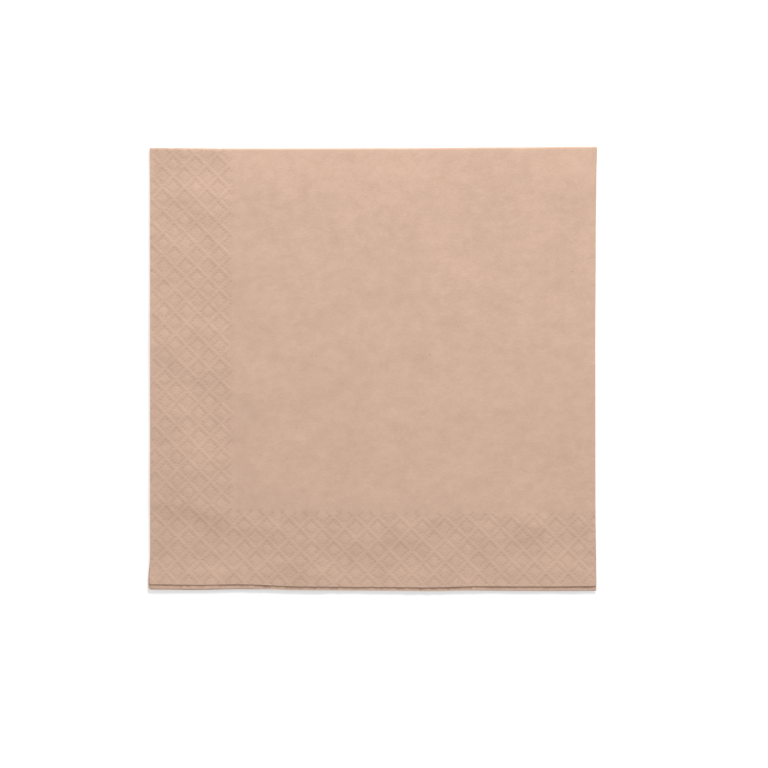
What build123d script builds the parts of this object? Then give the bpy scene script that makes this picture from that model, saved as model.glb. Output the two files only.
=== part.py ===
"""Paper napkin, folded in quarters and lying flat.

One sheet of two-ply tissue is folded in half and then in half again, so that it lies in four layers. All
lengths are in millimetres. +Z is up, the two folds are at +X and +Y, and the loose cut edges are at -X and
-Y. The origin is under the middle of the folded napkin, on the surface that it lies on.
"""

import os
from math import pi

from build123d import *

# The open sheet.
sheet_width = 330.0
sheet_length = 327.0
sheet_thickness = 0.2

# The first fold, at +X, lays two layers on each other. The fold is not quite halfway, so the outer layer's
# cut edge stands out past the inner layer's at -X.
first_gap = 0.25
first_overhang = 0.4

# The second fold, at +Y, lays the doubled sheet on itself, so that there are four layers. The lower pair's
# cut edges stand out past the upper pair's at -Y.
second_gap = 0.3
second_overhang = 1.5

# The first fold, as radii about the middle of its gap.
first_inside_radius = first_gap / 2
first_outside_radius = first_inside_radius + sheet_thickness
doubled_thickness = 2 * first_outside_radius

# The second fold, as radii about the middle of its gap.
second_axis_drop = second_gap / 2 + first_outside_radius
outer_layer_radius = second_gap / 2 + doubled_thickness - sheet_thickness / 2

# What each fold leaves of the sheet for its flat layers, measured along the middle of the paper.
first_bend_length = pi * (first_inside_radius + sheet_thickness / 2)
second_bend_length = pi * outer_layer_radius
outer_layer_width = (sheet_width - first_bend_length + first_overhang) / 2
inner_layer_width = outer_layer_width - first_overhang
lower_pair_length = (sheet_length - second_bend_length + second_overhang) / 2
upper_pair_length = lower_pair_length - second_overhang


def doubled_section():
    """The sheet after its first fold, cut across: a hairpin in the XZ plane, with its bend's axis on +Y."""
    inside, outside = first_inside_radius, first_outside_radius
    outline = Curve() + [
        Line((-outer_layer_width, outside), (0, outside)),
        CenterArc((0, 0), outside, 90, -180),
        Line((0, -outside), (-inner_layer_width, -outside)),
        Line((-inner_layer_width, -outside), (-inner_layer_width, -inside)),
        Line((-inner_layer_width, -inside), (0, -inside)),
        CenterArc((0, 0), inside, -90, 180),
        Line((0, inside), (-outer_layer_width, inside)),
        Line((-outer_layer_width, inside), (-outer_layer_width, outside)),
    ]
    return Plane.XZ * make_face(outline)


def folded_napkin():
    """The whole sheet: the upper pair of layers, the second fold, and the lower pair, as one solid."""
    upper_section = doubled_section()
    fold_axis = Axis((0, 0, -second_axis_drop), (-1, 0, 0))
    lower_section = mirror(upper_section, about=Plane.XY.offset(-second_axis_drop))
    towards_cut_edges = (0, -1, 0)
    upper_pair = extrude(upper_section, upper_pair_length, dir=towards_cut_edges)
    second_fold = revolve(upper_section, fold_axis, 180)
    lower_pair = extrude(lower_section, lower_pair_length, dir=towards_cut_edges)
    return upper_pair + second_fold + lower_pair


def laid_down(part):
    """The part moved so that the middle of its underside is at the origin."""
    box = part.bounding_box()
    return Pos(-box.center().X, -box.center().Y, -box.min.Z) * part


napkin = laid_down(folded_napkin())
napkin.label = "napkin"
os.makedirs("parts", exist_ok=True)
export_step(napkin, "parts/napkin.step")
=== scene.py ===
"""The looks of the folded paper napkin: one mesh of the whole sheet, with its folds, soft waves and embossed
border, in brown tissue, lying on a pale floor under soft light and seen from straight above.

Lengths of the napkin are in millimetres until its mesh is made.
The studio and the tissue's grain are in metres.
"""

import math

import bpy
import numpy as np
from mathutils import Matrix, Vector
from mathutils.geometry import delaunay_2d_cdt


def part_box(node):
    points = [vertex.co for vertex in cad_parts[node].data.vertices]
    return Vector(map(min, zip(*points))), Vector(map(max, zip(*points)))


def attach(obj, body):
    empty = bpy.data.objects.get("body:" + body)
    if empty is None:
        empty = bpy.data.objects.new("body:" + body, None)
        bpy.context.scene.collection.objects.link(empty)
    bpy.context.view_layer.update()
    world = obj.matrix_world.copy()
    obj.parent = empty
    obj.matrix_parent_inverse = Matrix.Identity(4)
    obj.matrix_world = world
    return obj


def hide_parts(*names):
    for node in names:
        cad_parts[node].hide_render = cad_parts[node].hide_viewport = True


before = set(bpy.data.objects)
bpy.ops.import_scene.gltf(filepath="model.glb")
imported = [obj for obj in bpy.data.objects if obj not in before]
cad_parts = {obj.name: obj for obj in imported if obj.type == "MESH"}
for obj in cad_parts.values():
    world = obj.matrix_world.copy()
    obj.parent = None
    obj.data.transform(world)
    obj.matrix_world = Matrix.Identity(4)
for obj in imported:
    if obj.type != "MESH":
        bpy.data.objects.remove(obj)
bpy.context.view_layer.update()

MM = 0.001

# ---- The open sheet and its two folds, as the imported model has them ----

SHEET_WIDTH = 330.0
SHEET_LENGTH = 327.0
THICKNESS = 0.2
FIRST_GAP = 0.25
FIRST_OVERHANG = 0.4
SECOND_GAP = 0.3
SECOND_OVERHANG = 1.5

FIRST_RADIUS = (FIRST_GAP + THICKNESS) / 2
FIRST_OUTSIDE_RADIUS = FIRST_RADIUS + THICKNESS / 2
SECOND_RADIUS = SECOND_GAP / 2 + FIRST_OUTSIDE_RADIUS
SECOND_OUTSIDE_RADIUS = SECOND_RADIUS + FIRST_OUTSIDE_RADIUS
FIRST_BEND = math.pi * FIRST_RADIUS
SECOND_BEND = math.pi * (SECOND_RADIUS + FIRST_RADIUS)
OUTER_WIDTH = (SHEET_WIDTH - FIRST_BEND + FIRST_OVERHANG) / 2
LOWER_LENGTH = (SHEET_LENGTH - SECOND_BEND + SECOND_OVERHANG) / 2
UPPER_LENGTH = LOWER_LENGTH - SECOND_OVERHANG
LOWEST_LAYER = THICKNESS / 2
LAYER_SPAN = 2 * (SECOND_RADIUS + FIRST_RADIUS)

low, high = (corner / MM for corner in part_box("napkin"))
size = high - low

# ---- The embossed border: rings of pits in square cells, which ridges part ----

BORDER_SIDE = 30.3
BORDER_END = 27.2
BORDER_BLUR = 0.35
CELL_PITCH = (5.86, 5.91)
# Directions of the two rows of cells on the sheet, in degrees from its width.
CELL_ANGLE = (44.9, -44.0)
RING_PLACE = (14.5, 9.1)
PITS_A_SIDE = 4
# The step from pit to pit, as a part of the cell.
PIT_STEP = 0.2175
PIT_RADIUS = 0.37
PIT_DEPTH = 0.15
RIDGE_RADIUS = 0.9
RIDGE_HEIGHT = 0.022

# ---- How the real napkin departs from flat layers ----

# Outline, as how far each side stands out (+) or in (-), against the place along it from 0 to 1.
LEFT_OUTLINE = ((0, 0.03, 0.08, 0.5, 0.9, 1), (0.25, 0.3, 0.0, -0.05, 0.0, 0.15))
RIGHT_OUTLINE = ((0, 0.06, 0.2, 0.55, 0.8, 0.93, 1), (0.1, 0.0, -0.3, -0.35, -0.18, 0.05, 0.3))
FRONT_OUTLINE = ((0, 0.1, 0.2, 0.5, 0.7, 0.9, 1), (-0.25, -0.12, -0.38, -0.2, 0.1, 0.3, 0.2))
BACK_OUTLINE = ((0, 0.2, 0.35, 0.55, 0.8, 1), (-0.1, -0.38, -0.37, -0.25, 0.05, 0.35))
# How much further than the model's overhang the upper pair's front edge is drawn back.
UPPER_DRAWN_BACK = ((0, 0.2, 0.35, 0.6, 0.75, 1), (0.5, 0.35, -0.4, -0.5, 0.15, 0.25))
# How far the lower pair stands out at the left near the front corner, and over what part of the two sides.
LOWER_LEFT_OUT = 0.4
LOWER_LEFT_ALONG = 0.09
LOWER_LEFT_ACROSS = 0.125

# The stack is plump over its middle, falls to the folds, and is pressed flat at its cut edges.
PLUMP = 0.4
PLUMP_IN_BACK = 16.0
PLUMP_IN_RIGHT = 7.0
PRESSED_DOWN = 0.74
PRESSED_IN_FRONT = 42.0
PRESSED_IN_LEFT = 14.0
PRESSED_LEFT_SHARE = 0.6
# The front edge curls up off the floor, most at the left, and the top layer a little less than the lowest.
EDGE_CURL = 0.7
EDGE_CURL_REACH = 12.0
EDGE_CURL_RIGHT_SHARE = 0.65
EDGE_CURL_AT_LEFT = 0.9
EDGE_CURL_FADE = 1.6
EDGE_CURL_TOP_LOSS = 0.2
# The stack's lift never gets below its floor: it levels off softly instead.
LIFT_START = 0.45
LIFT_SHARPNESS = 4.0
LIFT_FLOOR = 0.2
LEAST_FLOOR_GAP = 0.09
FLOOR_GAP_WAVE = 0.06
INNER_WAVE = 0.06
COCKLE_FADE_IN_BORDER = 8.0
COCKLE_FADE_AT_SIDE = 2.0
COCKLE_AT_SIDE = 0.3

# Seeded ripples: how many, shortest and longest wave, steepness, seed.
SMALL_RIPPLES = (40, 6, 18, 0.016, 3)
WIDE_RIPPLES = (24, 18, 45, 0.012, 5)
COCKLE = (30, 12, 34, 0.03, 8)
FLOOR_RIPPLES = (20, 14, 40, 0.2, 11)
INNER_RIPPLES = (12, 25, 60, 1.0, 13)

# Soft slopes in the top layer: middle x and y, reach to each side, run, direction that it
# falls towards in degrees anticlockwise from +X, and how far it falls.
SLOPES = (
    (4, 79, 20, 7, 90, 0.95),
    (-46, 79, 14, 6, 90, 0.7),
    (68, 77, 8, 6, 90, 0.5),
    (-76, 77, 11, 7, 240, 0.7),
    (44, 74, 14, 8, 262, 0.75),
    (74, 60, 16, 16, 255, 1.0),
    (58, 60, 14, 9, 235, 0.3),
    (55, 50, 40, 5, 225, 0.45),
    (-59, 32, 9, 4, 270, 0.35),
    (-74, 16, 15, 8, 90, 1.0),
    (-12, 10, 12, 5, 270, 0.12),
    (-73, -2, 12, 5, 235, 0.65),
    (-57, -9, 10, 5, 280, 0.5),
    (-79, -21, 6, 4, 260, 0.45),
    (-73, -55, 18, 4.5, 262, 1.5),
    (-70, -36, 16, 6, 90, 0.35),
    (-48, -46, 8, 4, 280, 0.35),
    (24, -63, 15, 6, 225, 0.55),
    (-6, -56, 8, 4, 270, 0.25),
    (74, -35, 11, 8, 265, 0.7),
    (60, -47, 15, 5, 90, 0.35),
    (25, -44, 30, 6, 90, 0.35),
    (43, -60, 6, 4, 90, 0.2),
    (-18, -52, 5, 6, 60, 0.2),
)
# How far past a slope the surface has come most of the way back up.
SLOPE_RECOVERY = 60.0

# ---- The mesh ----

RIM_STEP = 0.8
CORNER_RADIUS = 0.8
CORNER_POINTS = 5
CORNER_CLEAR = CORNER_RADIUS * 1.3
BEND_STEPS = (8, 12)
BEND_STEP_ALONG = 1.3
# Places of the fine lines across a cell: ridge, beside the ridge, pits and halfway between pits.
HALF_CELL_LINES = np.array([-0.5, -0.41, -1.5 * PIT_STEP, -PIT_STEP, -PIT_STEP / 2, 0])
CELL_LINES = np.concatenate([HALF_CELL_LINES, -HALF_CELL_LINES[1:-1]])
OUTSIDE_STEP = 2.6
INSIDE_STEP = 3.6
FINE_CLEAR_OF_RIM = 0.45
FINE_CLEAR_OF_BENDS = 0.35
EVEN_CLEAR_OF_RIM = 1.0
SLOPE_STEP = 0.01
SAME_PLACE = 1e-6
CROSSING_MARGIN = 1e-4
SHARP_ANGLE = math.radians(55)

# ---- The tissue: noise scales are in features a metre, along x, y and z ----

TISSUE_DARK = (0.633, 0.428, 0.318, 1)
TISSUE_LIGHT = (0.657, 0.452, 0.346, 1)
TISSUE_ROUGHNESS = 0.95
TISSUE_SPECULAR = 0.15
FIBRE_SCALE = (900, 1900, 1400)
CLUMP_SCALE = (260, 330, 300)
CLOUD_SCALE = (60, 75, 60)
# The middle stretch of a noise's values, which is spread over the full range of its effect.
NOISE_MIDDLE = (0.3, 0.7)
FIBRE_SHADES = (0.955, 1.045)
CLUMP_SHADES = (0.97, 1.03)
CLOUD_SHADES = (0.985, 1.015)
# How much darker the pits get: partly pressed fibres, partly painted shade in the hollows.
PIT_PRESSED_AND_PAINTED_SHADE = (1.0, 0.86)
FIBRE_RELIEF = 0.00003
SPECK_SCALE = (95, 150, 120)
# One cell in ten has a speck, up to this radius and edge width as parts of the cell, and this dark.
SPECK_CHANCE = (0.9, 1.0)
SPECK_RADIUS = (0.0, 0.034)
SPECK_EDGE = (0.0, 0.014)
SPECK_SHADES = (1.0, 0.62)

# ---- The studio, in metres and degrees ----

LAMP_SIDE = 14.0
LAMP_RISE = 32.0
LAMP_DISTANCE = 1.2
LAMP_SIZE = (0.8, 0.35)
LAMP_WATTS = 14.5
WORLD_STRENGTH = 0.483
FLOOR_SIZE = 6.0
FLOOR_COLOR = (0.8, 0.8, 0.8, 1)
FLOOR_ROUGHNESS = 0.9
FLOOR_SPECULAR = 0.1
FLOOR_GLOW = 0.4
WHITE = (1, 1, 1, 1)
CAMERA_SENSOR = 36
CAMERA_HEIGHT = 1.2
VIEW_WIDTH = 0.2842
CAMERA_X = 0.00402
CAMERA_Y = -0.00563


def smooth(t):
    """0 below 0, 1 above 1, and a soft S between."""
    t = np.clip(t, 0, 1)
    return t * t * (3 - 2 * t)


def through(places, values, at):
    """A smooth curve through a few given values."""
    places = np.asarray(places, float)
    values = np.asarray(values, float)
    k = np.clip(np.searchsorted(places, at) - 1, 0, len(places) - 2)
    t = smooth((at - places[k]) / (places[k + 1] - places[k]))
    return values[k] + (values[k + 1] - values[k]) * t


# ---- The folds: from a place on the open sheet to its place in the folded napkin ----
# s runs over the sheet's width from the outer layer's cut edge, and r over its length from the upper pair's.


def folded(s, r):
    """The middle of the paper at (s, r), with the layers flat and the bends round."""
    turn = np.clip((s - OUTER_WIDTH) / FIRST_BEND, 0, 1) * math.pi
    axis_x = high.x - FIRST_OUTSIDE_RADIUS
    x = axis_x + FIRST_RADIUS * np.sin(turn)
    x = x + np.minimum(s - OUTER_WIDTH, 0) - np.maximum(s - OUTER_WIDTH - FIRST_BEND, 0)
    arm = SECOND_RADIUS + FIRST_RADIUS * np.cos(turn)
    turn = np.clip((r - UPPER_LENGTH) / SECOND_BEND, 0, 1) * math.pi
    y = high.y - SECOND_OUTSIDE_RADIUS + arm * np.sin(turn)
    y = y + np.minimum(r - UPPER_LENGTH, 0) - np.maximum(r - UPPER_LENGTH - SECOND_BEND, 0)
    z = SECOND_OUTSIDE_RADIUS + arm * np.cos(turn)
    return x, y, z


def off_first_bend(s, margin):
    return (s < OUTER_WIDTH - margin) | (s > OUTER_WIDTH + FIRST_BEND + margin)


def off_second_bend(r, margin):
    return (r < UPPER_LENGTH - margin) | (r > UPPER_LENGTH + SECOND_BEND + margin)


# ---- The waves: how the real napkin departs from flat layers ----


def slopes(x, y):
    """The height that the listed soft slopes add."""
    height = 0
    for at_x, at_y, reach, run, falls_to, drop in SLOPES:
        angle = math.radians(falls_to)
        down = (x - at_x) * math.cos(angle) + (y - at_y) * math.sin(angle)
        side = (y - at_y) * math.cos(angle) - (x - at_x) * math.sin(angle)
        fallen = 0.5 + 0.5 * np.tanh(down / run)
        recovered = np.exp(-np.maximum(down, 0) / SLOPE_RECOVERY)
        height = height - drop * fallen * recovered * np.exp(-((side / reach) ** 2))
    return height


def ripples(x, y, count, shortest, longest, steepness, seed):
    """Shallow seeded waves in all directions, each about as steep as the next."""
    random = np.random.default_rng(seed)
    height = 0
    for _ in range(count):
        length = shortest * (longest / shortest) ** random.random()
        angle, phase = random.random(2) * math.tau
        along = x * math.cos(angle) + y * math.sin(angle)
        scale = steepness * length / math.tau * math.sqrt(2 / count)
        height = height + scale * np.sin(along * math.tau / length + phase)
    return height


def slid(x, y, across, along, height):
    """Where the outline and the slip of the layers take a place, seen from above."""
    left, right = through(*LEFT_OUTLINE, along), through(*RIGHT_OUTLINE, along)
    front, back = through(*FRONT_OUTLINE, across), through(*BACK_OUTLINE, across)
    drawn_back = through(*UPPER_DRAWN_BACK, across) * smooth(2 * height) * (1 - along)
    near_corner = smooth(1 - along / LOWER_LEFT_ALONG) * smooth(1 - across / LOWER_LEFT_ACROSS)
    lower_out = LOWER_LEFT_OUT * near_corner * smooth(1 - 2 * height)
    moved_x = x - (1 - across) * left + across * right - lower_out
    moved_y = y - (1 - along) * front + along * back + drawn_back
    return moved_x, moved_y


def cockled(x, y):
    """The stronger waves that the embossing puts in the border, with the sheet's edges held."""
    into_plain = np.minimum(x - low.x - BORDER_SIDE, y - low.y - BORDER_END)
    border = smooth(0.5 - into_plain / COCKLE_FADE_IN_BORDER)
    from_side = np.minimum(x - low.x, high.x - x)
    return ripples(x, y, *COCKLE) * border * smooth(from_side / COCKLE_FADE_AT_SIDE + COCKLE_AT_SIDE)


def stack_lift(x, y, near_front):
    """How much higher than in the flat-layered napkin the top layer lies over the lowest."""
    plump = PLUMP * smooth((high.y - y) / PLUMP_IN_BACK) * smooth((high.x - x) / PLUMP_IN_RIGHT)
    small = ripples(x, y, *SMALL_RIPPLES) + ripples(x, y, *WIDE_RIPPLES)
    lift = plump + slopes(x, y) + small + cockled(x, y)
    lift = np.logaddexp(0, (lift + LIFT_START) * LIFT_SHARPNESS) / LIFT_SHARPNESS - LIFT_FLOOR
    pressed_front = 1 - smooth((y - low.y) / PRESSED_IN_FRONT)
    pressed_left = PRESSED_LEFT_SHARE * (1 - smooth((x - low.x) / PRESSED_IN_LEFT))
    return lift * (1 - near_front) - PRESSED_DOWN * np.maximum(pressed_front, pressed_left)


def waved(x, y, z):
    """A place in the flat-layered napkin moved to where the real one has it."""
    across, along = (x - low.x) / size.x, (y - low.y) / size.y
    height = (z - LOWEST_LAYER) / LAYER_SPAN
    moved_x, moved_y = slid(x, y, across, along, height)
    near_front = smooth(1 - (y - low.y) / EDGE_CURL_REACH)
    leftness = smooth(EDGE_CURL_AT_LEFT - EDGE_CURL_FADE * across)
    to_left = EDGE_CURL_RIGHT_SHARE + (1 - EDGE_CURL_RIGHT_SHARE) * leftness
    curled = EDGE_CURL * near_front * to_left * (1 - EDGE_CURL_TOP_LOSS * height)
    under = FLOOR_GAP_WAVE * (1 + np.tanh(ripples(x, y, *FLOOR_RIPPLES)))
    inner = INNER_WAVE * np.sin(ripples(x, y, *INNER_RIPPLES)) * 4 * height * (1 - height)
    stacked = height * (LAYER_SPAN + stack_lift(x, y, near_front))
    moved_z = LOWEST_LAYER + LEAST_FLOOR_GAP + under + curled + stacked + inner
    return np.stack([moved_x, moved_y, moved_z], -1)


def middle(s, r):
    """The middle of the paper at a place on the open sheet."""
    return waved(*folded(s, r))


# ---- The embossing ----


def lattice_axes():
    """How many cells of the pattern a millimetre over the sheet is, along each of its two directions."""
    rows = []
    for pitch, angle in zip(CELL_PITCH, CELL_ANGLE):
        turn = math.radians(angle)
        rows.append((math.cos(turn) / pitch, math.sin(turn) / pitch))
    return np.array(rows)


LATTICE = lattice_axes()


def in_border(s, r):
    """1 on the embossed border of the open sheet and 0 on its plain middle."""
    from_sides = np.minimum(s, SHEET_WIDTH - s)
    from_ends = np.minimum(r, SHEET_LENGTH - r)
    inside = np.minimum(from_sides - BORDER_SIDE, from_ends - BORDER_END)
    return smooth(0.5 - inside / (2 * BORDER_BLUR))


def pits_and_ridges(s, r):
    """How fully a place is in a pit, and on a ridge, each from 0 to 1."""
    place = np.stack([s - RING_PLACE[0], r - RING_PLACE[1]], -1) @ LATTICE.T
    offset = place - np.round(place)
    half = (PITS_A_SIDE - 1) / 2
    nearest = np.clip(np.round(offset / PIT_STEP + half), 0, PITS_A_SIDE - 1) - half
    on_ring = np.abs(nearest).max(-1) == half
    pitch = np.array(CELL_PITCH)
    from_pit = np.linalg.norm((offset - nearest * PIT_STEP) * pitch, axis=-1)
    from_ridge = ((0.5 - np.abs(offset)) * pitch).min(-1)
    border = in_border(s, r)
    pits = border * on_ring * np.exp(-((from_pit / PIT_RADIUS) ** 2))
    ridges = border * np.exp(-((from_ridge / RIDGE_RADIUS) ** 2))
    return pits, ridges


# ---- The mesh ----


def spaced(start, end, step):
    return np.linspace(start, end, max(2, round((end - start) / step) + 1))


def along_edge(length, flat, bend, steps, step):
    """Places along one edge of the sheet: evenly spaced on the flat, and close together round the bend."""
    before = spaced(0, flat, step)
    round_bend = flat + bend * np.linspace(0, 1, steps + 1)
    after = spaced(flat + bend, length, step)
    return np.unique(np.round(np.concatenate([before, round_bend, after]), 6))


def along_width(step):
    return along_edge(SHEET_WIDTH, OUTER_WIDTH, FIRST_BEND, BEND_STEPS[0], step)


def along_length(step):
    return along_edge(SHEET_LENGTH, UPPER_LENGTH, SECOND_BEND, BEND_STEPS[1], step)


def clear_of_corners(places, length):
    return places[(places > CORNER_CLEAR) & (places < length - CORNER_CLEAR)]


def rim():
    """The sheet's cut edge as a loop of places, with its corners a little rounded."""
    s_places = clear_of_corners(along_width(RIM_STEP), SHEET_WIDTH)
    r_places = clear_of_corners(along_length(RIM_STEP), SHEET_LENGTH)
    sides = (
        [(s, 0) for s in s_places],
        [(SHEET_WIDTH, r) for r in r_places],
        [(s, SHEET_LENGTH) for s in s_places[::-1]],
        [(0, r) for r in r_places[::-1]],
    )
    centres = (
        (SHEET_WIDTH - CORNER_RADIUS, CORNER_RADIUS),
        (SHEET_WIDTH - CORNER_RADIUS, SHEET_LENGTH - CORNER_RADIUS),
        (CORNER_RADIUS, SHEET_LENGTH - CORNER_RADIUS),
        (CORNER_RADIUS, CORNER_RADIUS),
    )
    loop = []
    for quarter, (side, (s, r)) in enumerate(zip(sides, centres)):
        loop += side
        for turn in (quarter - 1 + np.linspace(0, 1, CORNER_POINTS)) * math.pi / 2:
            loop.append((s + CORNER_RADIUS * math.cos(turn), r + CORNER_RADIUS * math.sin(turn)))
    return np.array(loop)


def crossings(s_places, r_places):
    return np.stack(np.meshgrid(s_places, r_places), -1).reshape(-1, 2)


def bend_places():
    """Close rows of places round both bends."""
    round_first = OUTER_WIDTH + FIRST_BEND * np.linspace(0, 1, BEND_STEPS[0] + 1)
    round_second = UPPER_LENGTH + SECOND_BEND * np.linspace(0, 1, BEND_STEPS[1] + 1)
    first = crossings(round_first, along_length(BEND_STEP_ALONG)[1:-1])
    second = crossings(along_width(BEND_STEP_ALONG)[1:-1], round_second)
    return np.concatenate([first, second[off_first_bend(second[:, 0], CROSSING_MARGIN)]])


def inside_rim(places, margin):
    s, r = places.T
    return (np.minimum(s, SHEET_WIDTH - s) > margin) & (np.minimum(r, SHEET_LENGTH - r) > margin)


def outer_border(places):
    """Where the fine places go: the border of the two outer layers, which are the ones that show."""
    s, r = places.T
    return (in_border(s, r) > 0) & (s < OUTER_WIDTH)


def fine_places():
    """A place at each pit, at each ridge and halfway between, all over the outer layers' border."""
    to_sheet = np.linalg.inv(LATTICE)
    corners = crossings((0, OUTER_WIDTH), (0, SHEET_LENGTH))
    cells = (corners - RING_PLACE) @ LATTICE.T
    first, last = np.floor(cells.min(0)), np.ceil(cells.max(0)) + 1
    lines = [(np.arange(a, b)[:, None] + CELL_LINES).ravel() for a, b in zip(first, last)]
    places = crossings(*lines) @ to_sheet.T + RING_PLACE
    s, r = places.T
    keep = outer_border(places) & inside_rim(places, FINE_CLEAR_OF_RIM)
    keep = keep & off_first_bend(s, FINE_CLEAR_OF_BENDS) & off_second_bend(r, FINE_CLEAR_OF_BENDS)
    return places[keep]


def even_places(step):
    """Rows of places over the whole sheet, every other row shifted by half a step."""
    rows = []
    for k, r in enumerate(spaced(0, SHEET_LENGTH, step * math.sqrt(3) / 2)):
        s = np.arange(step / 2 * (k % 2), SHEET_WIDTH, step)
        rows.append(np.stack([s, np.full_like(s, r)], -1))
    places = np.concatenate(rows)
    s, r = places.T
    keep = inside_rim(places, EVEN_CLEAR_OF_RIM)
    keep = keep & off_first_bend(s, step / 3) & off_second_bend(r, step / 3)
    return places[keep]


def triangulated(loop, inner):
    """The sheet's places and triangles, and where each place of the rim is among them."""
    flat = [Vector(place) for place in np.concatenate([loop, inner])]
    outline = [list(range(len(loop)))]
    made, _, faces, origins, _, _ = delaunay_2d_cdt(flat, [], outline, 1, SAME_PLACE)
    found = {first: k for k, origin in enumerate(origins) for first in origin}
    return np.array([tuple(place) for place in made]), faces, [found[k] for k in range(len(loop))]


def off_middle(places, offset):
    """The 3-D points at the given distances from the middle of the paper, towards its outside."""
    s, r = places.T
    by_s = middle(s + SLOPE_STEP, r) - middle(s - SLOPE_STEP, r)
    by_r = middle(s, r + SLOPE_STEP) - middle(s, r - SLOPE_STEP)
    normal = np.cross(by_s, by_r)
    normal /= np.linalg.norm(normal, axis=-1, keepdims=True)
    return middle(s, r) + normal * offset[:, None]


def rim_faces(outer_rim, inner_rim):
    """The cut edge of the paper, which joins its outside and its inside all the way round."""
    faces = []
    for k in range(len(outer_rim)):
        faces.append([outer_rim[k - 1], inner_rim[k - 1], inner_rim[k], outer_rim[k]])
    return faces


def napkin_mesh():
    """The whole sheet as one closed mesh, fine where the embossing shows."""
    loop, bends = rim(), bend_places()
    even = even_places(OUTSIDE_STEP)
    outer = np.concatenate([bends, fine_places(), even[~outer_border(even)]])
    inner = np.concatenate([bends, even_places(INSIDE_STEP)])
    outer_places, outer_faces, outer_rim = triangulated(loop, outer)
    inner_places, inner_faces, inner_rim = triangulated(loop, inner)
    pits, ridges = pits_and_ridges(*outer_places.T)
    relief = RIDGE_HEIGHT * ridges - PIT_DEPTH * pits
    outside = off_middle(outer_places, THICKNESS / 2 + relief)
    inside = off_middle(inner_places, np.full(len(inner_places), -THICKNESS / 2))
    shift = len(outer_places)
    faces = list(outer_faces)
    faces += [[shift + k for k in reversed(face)] for face in inner_faces]
    faces += rim_faces(outer_rim, [shift + k for k in inner_rim])
    mesh = bpy.data.meshes.new("napkin_sheet")
    mesh.from_pydata((np.concatenate([outside, inside]) * MM).tolist(), [], faces)
    # How fully each outside place is in a pit, which the tissue darkens partly as pressed fibres and partly
    # as painted shade.
    pressed = mesh.attributes.new("pressed", "FLOAT", "POINT")
    pressed.data.foreach_set("value", np.append(pits, np.zeros(len(inside))))
    mesh.shade_smooth()
    mesh.set_sharp_from_angle(angle=SHARP_ANGLE)
    return mesh


# ---- Material nodes ----


def node(tree, kind, **settings):
    """A new node with the given settings and input values."""
    made = tree.nodes.new(kind)
    for name, value in settings.items():
        if name in made.inputs:
            made.inputs[name].default_value = value
        else:
            setattr(made, name, value)
    return made


def mapped(tree, scale):
    """The object's own coordinates, scaled."""
    place = node(tree, "ShaderNodeTexCoord")
    mapping = node(tree, "ShaderNodeMapping", Scale=scale)
    tree.links.new(place.outputs["Object"], mapping.inputs["Vector"])
    return mapping.outputs["Vector"]


def noise(tree, scale, detail, roughness):
    made = node(tree, "ShaderNodeTexNoise", Scale=1.0, Detail=detail, Roughness=roughness)
    tree.links.new(mapped(tree, scale), made.inputs["Vector"])
    return made.outputs["Fac"]


def ranged(tree, value, before, after):
    """value with the range before spread over the range after."""
    spread = node(tree, "ShaderNodeMapRange")
    spread.inputs["From Min"].default_value, spread.inputs["From Max"].default_value = before
    spread.inputs["To Min"].default_value, spread.inputs["To Max"].default_value = after
    tree.links.new(value, spread.inputs["Value"])
    return spread.outputs["Result"]


def shaded(tree, color, factor, before, shades):
    """color times a grey that runs through shades as factor runs through before."""
    scaled = node(tree, "ShaderNodeVectorMath", operation="SCALE")
    tree.links.new(color, scaled.inputs[0])
    tree.links.new(ranged(tree, factor, before, shades), scaled.inputs["Scale"])
    return scaled.outputs["Vector"]


def seen_directly(tree):
    """1 for rays that come from the camera, straight or by way of gloss or glass."""
    path = node(tree, "ShaderNodeLightPath")
    total = path.outputs["Is Camera Ray"]
    for name in ("Is Glossy Ray", "Is Transmission Ray"):
        both = node(tree, "ShaderNodeMath", operation="MAXIMUM")
        tree.links.new(total, both.inputs[0])
        tree.links.new(path.outputs[name], both.inputs[1])
        total = both.outputs["Value"]
    return total


def new_material(name):
    material = bpy.data.materials.new(name)
    material.use_nodes = True
    return material, material.node_tree, material.node_tree.nodes["Principled BSDF"]


# ---- The tissue ----


def cloudy_color(tree, fibres):
    """Brown that varies with the fibres, with the clumps they form and with wider clouds."""
    clumps = noise(tree, CLUMP_SCALE, 2, 0.5)
    clouds = noise(tree, CLOUD_SCALE, 2, 0.5)
    base = node(tree, "ShaderNodeMix", data_type="RGBA", blend_type="MIX")
    base.inputs["A"].default_value = TISSUE_DARK
    base.inputs["B"].default_value = TISSUE_LIGHT
    tree.links.new(clumps, base.inputs["Factor"])
    color = shaded(tree, base.outputs["Result"], fibres, NOISE_MIDDLE, FIBRE_SHADES)
    color = shaded(tree, color, clumps, NOISE_MIDDLE, CLUMP_SHADES)
    return shaded(tree, color, clouds, NOISE_MIDDLE, CLOUD_SHADES)


def pits_pressed_and_shaded(tree, color):
    """color, darker in the embossed pits: partly the pressed fibres' own darker tone, partly painted shade
    in the hollows.
    """
    pressed = node(tree, "ShaderNodeAttribute", attribute_name="pressed")
    return shaded(tree, color, pressed.outputs["Fac"], (0.0, 1.0), PIT_PRESSED_AND_PAINTED_SHADE)


def specked_color(tree, color):
    """color with a few small dark specks."""
    specks = node(tree, "ShaderNodeTexVoronoi", feature="F1", voronoi_dimensions="2D", Scale=1.0)
    tree.links.new(mapped(tree, SPECK_SCALE), specks.inputs["Vector"])
    chosen = node(tree, "ShaderNodeSeparateColor")
    tree.links.new(specks.outputs["Color"], chosen.inputs["Color"])
    radius = ranged(tree, chosen.outputs["Red"], SPECK_CHANCE, SPECK_RADIUS)
    inside = node(tree, "ShaderNodeMath", operation="SUBTRACT")
    tree.links.new(radius, inside.inputs[0])
    tree.links.new(specks.outputs["Distance"], inside.inputs[1])
    return shaded(tree, color, inside.outputs["Value"], SPECK_EDGE, SPECK_SHADES)


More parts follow.
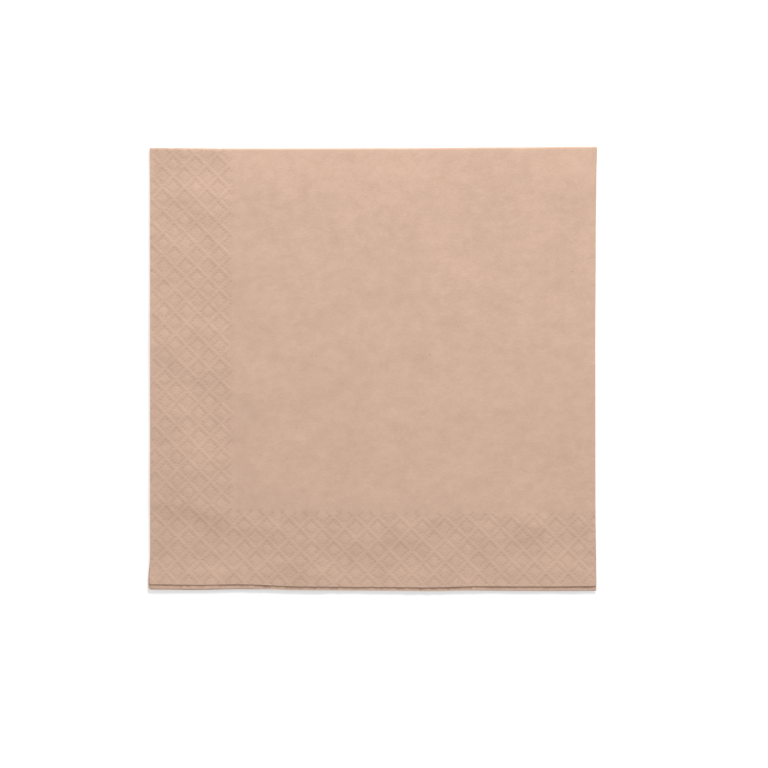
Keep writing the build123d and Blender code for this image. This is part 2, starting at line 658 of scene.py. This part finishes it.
def tissue():
    """Unbleached recycled tissue: matt, cloudy, faintly fibrous, with a few dark specks."""
    material, tree, shader = new_material("tissue")
    shader.inputs["Roughness"].default_value = TISSUE_ROUGHNESS
    shader.inputs["Specular IOR Level"].default_value = TISSUE_SPECULAR
    fibres = noise(tree, FIBRE_SCALE, 3, 0.6)
    color = specked_color(tree, pits_pressed_and_shaded(tree, cloudy_color(tree, fibres)))
    tree.links.new(color, shader.inputs["Base Color"])
    bump = node(tree, "ShaderNodeBump", Strength=1.0, Distance=FIBRE_RELIEF)
    tree.links.new(fibres, bump.inputs["Height"])
    tree.links.new(bump.outputs["Normal"], shader.inputs["Normal"])
    return material


# ---- The studio ----


def floor():
    """A matt pale floor that the camera sees as white, with the napkin's shadow on it."""
    bpy.ops.mesh.primitive_plane_add(size=FLOOR_SIZE)
    plane = bpy.context.object
    plane.name = "floor"
    material, tree, shader = new_material("floor")
    shader.inputs["Base Color"].default_value = FLOOR_COLOR
    shader.inputs["Roughness"].default_value = FLOOR_ROUGHNESS
    shader.inputs["Specular IOR Level"].default_value = FLOOR_SPECULAR
    shader.inputs["Emission Color"].default_value = WHITE
    glow = node(tree, "ShaderNodeMath", operation="MULTIPLY")
    tree.links.new(seen_directly(tree), glow.inputs[0])
    glow.inputs[1].default_value = FLOOR_GLOW
    tree.links.new(glow.outputs["Value"], shader.inputs["Emission Strength"])
    plane.data.materials.append(material)


def sky():
    """Even light from all round, which the camera sees as white."""
    world = bpy.data.worlds.new("studio")
    bpy.context.scene.world = world
    world.use_nodes = True
    tree = world.node_tree
    background = tree.nodes["Background"]
    background.inputs["Color"].default_value = WHITE
    strength = ranged(tree, seen_directly(tree), (0.0, 1.0), (WORLD_STRENGTH, 1.0))
    tree.links.new(strength, background.inputs["Strength"])


def lamp():
    """A wide soft lamp beyond the napkin's far side, a little to the right."""
    data = bpy.data.lights.new("lamp", "AREA")
    data.shape = "RECTANGLE"
    data.size, data.size_y = LAMP_SIZE
    data.energy = LAMP_WATTS
    made = bpy.data.objects.new("lamp", data)
    side, rise = math.radians(LAMP_SIDE), math.radians(LAMP_RISE)
    towards = Vector((math.sin(side) * math.cos(rise), math.cos(side) * math.cos(rise), math.sin(rise)))
    made.location = towards * LAMP_DISTANCE
    made.rotation_euler = towards.to_track_quat("Z", "Y").to_euler()
    bpy.context.scene.collection.objects.link(made)


def camera():
    """Straight above the napkin, as the photograph is taken, and a little off its middle."""
    data = bpy.data.cameras.new("camera")
    data.sensor_width = CAMERA_SENSOR
    data.lens = CAMERA_SENSOR * CAMERA_HEIGHT / VIEW_WIDTH
    made = bpy.data.objects.new("camera", data)
    made.location = (CAMERA_X, CAMERA_Y, CAMERA_HEIGHT + high.z * MM)
    bpy.context.scene.collection.objects.link(made)
    bpy.context.scene.camera = made


# ---- Everything together ----

camera()
lamp()
sky()
floor()
bpy.context.scene.view_settings.view_transform = "Standard"

napkin = bpy.data.objects.new("napkin_sheet", napkin_mesh())
bpy.context.scene.collection.objects.link(napkin)
napkin.data.materials.append(tissue())
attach(napkin, "root")
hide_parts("napkin")
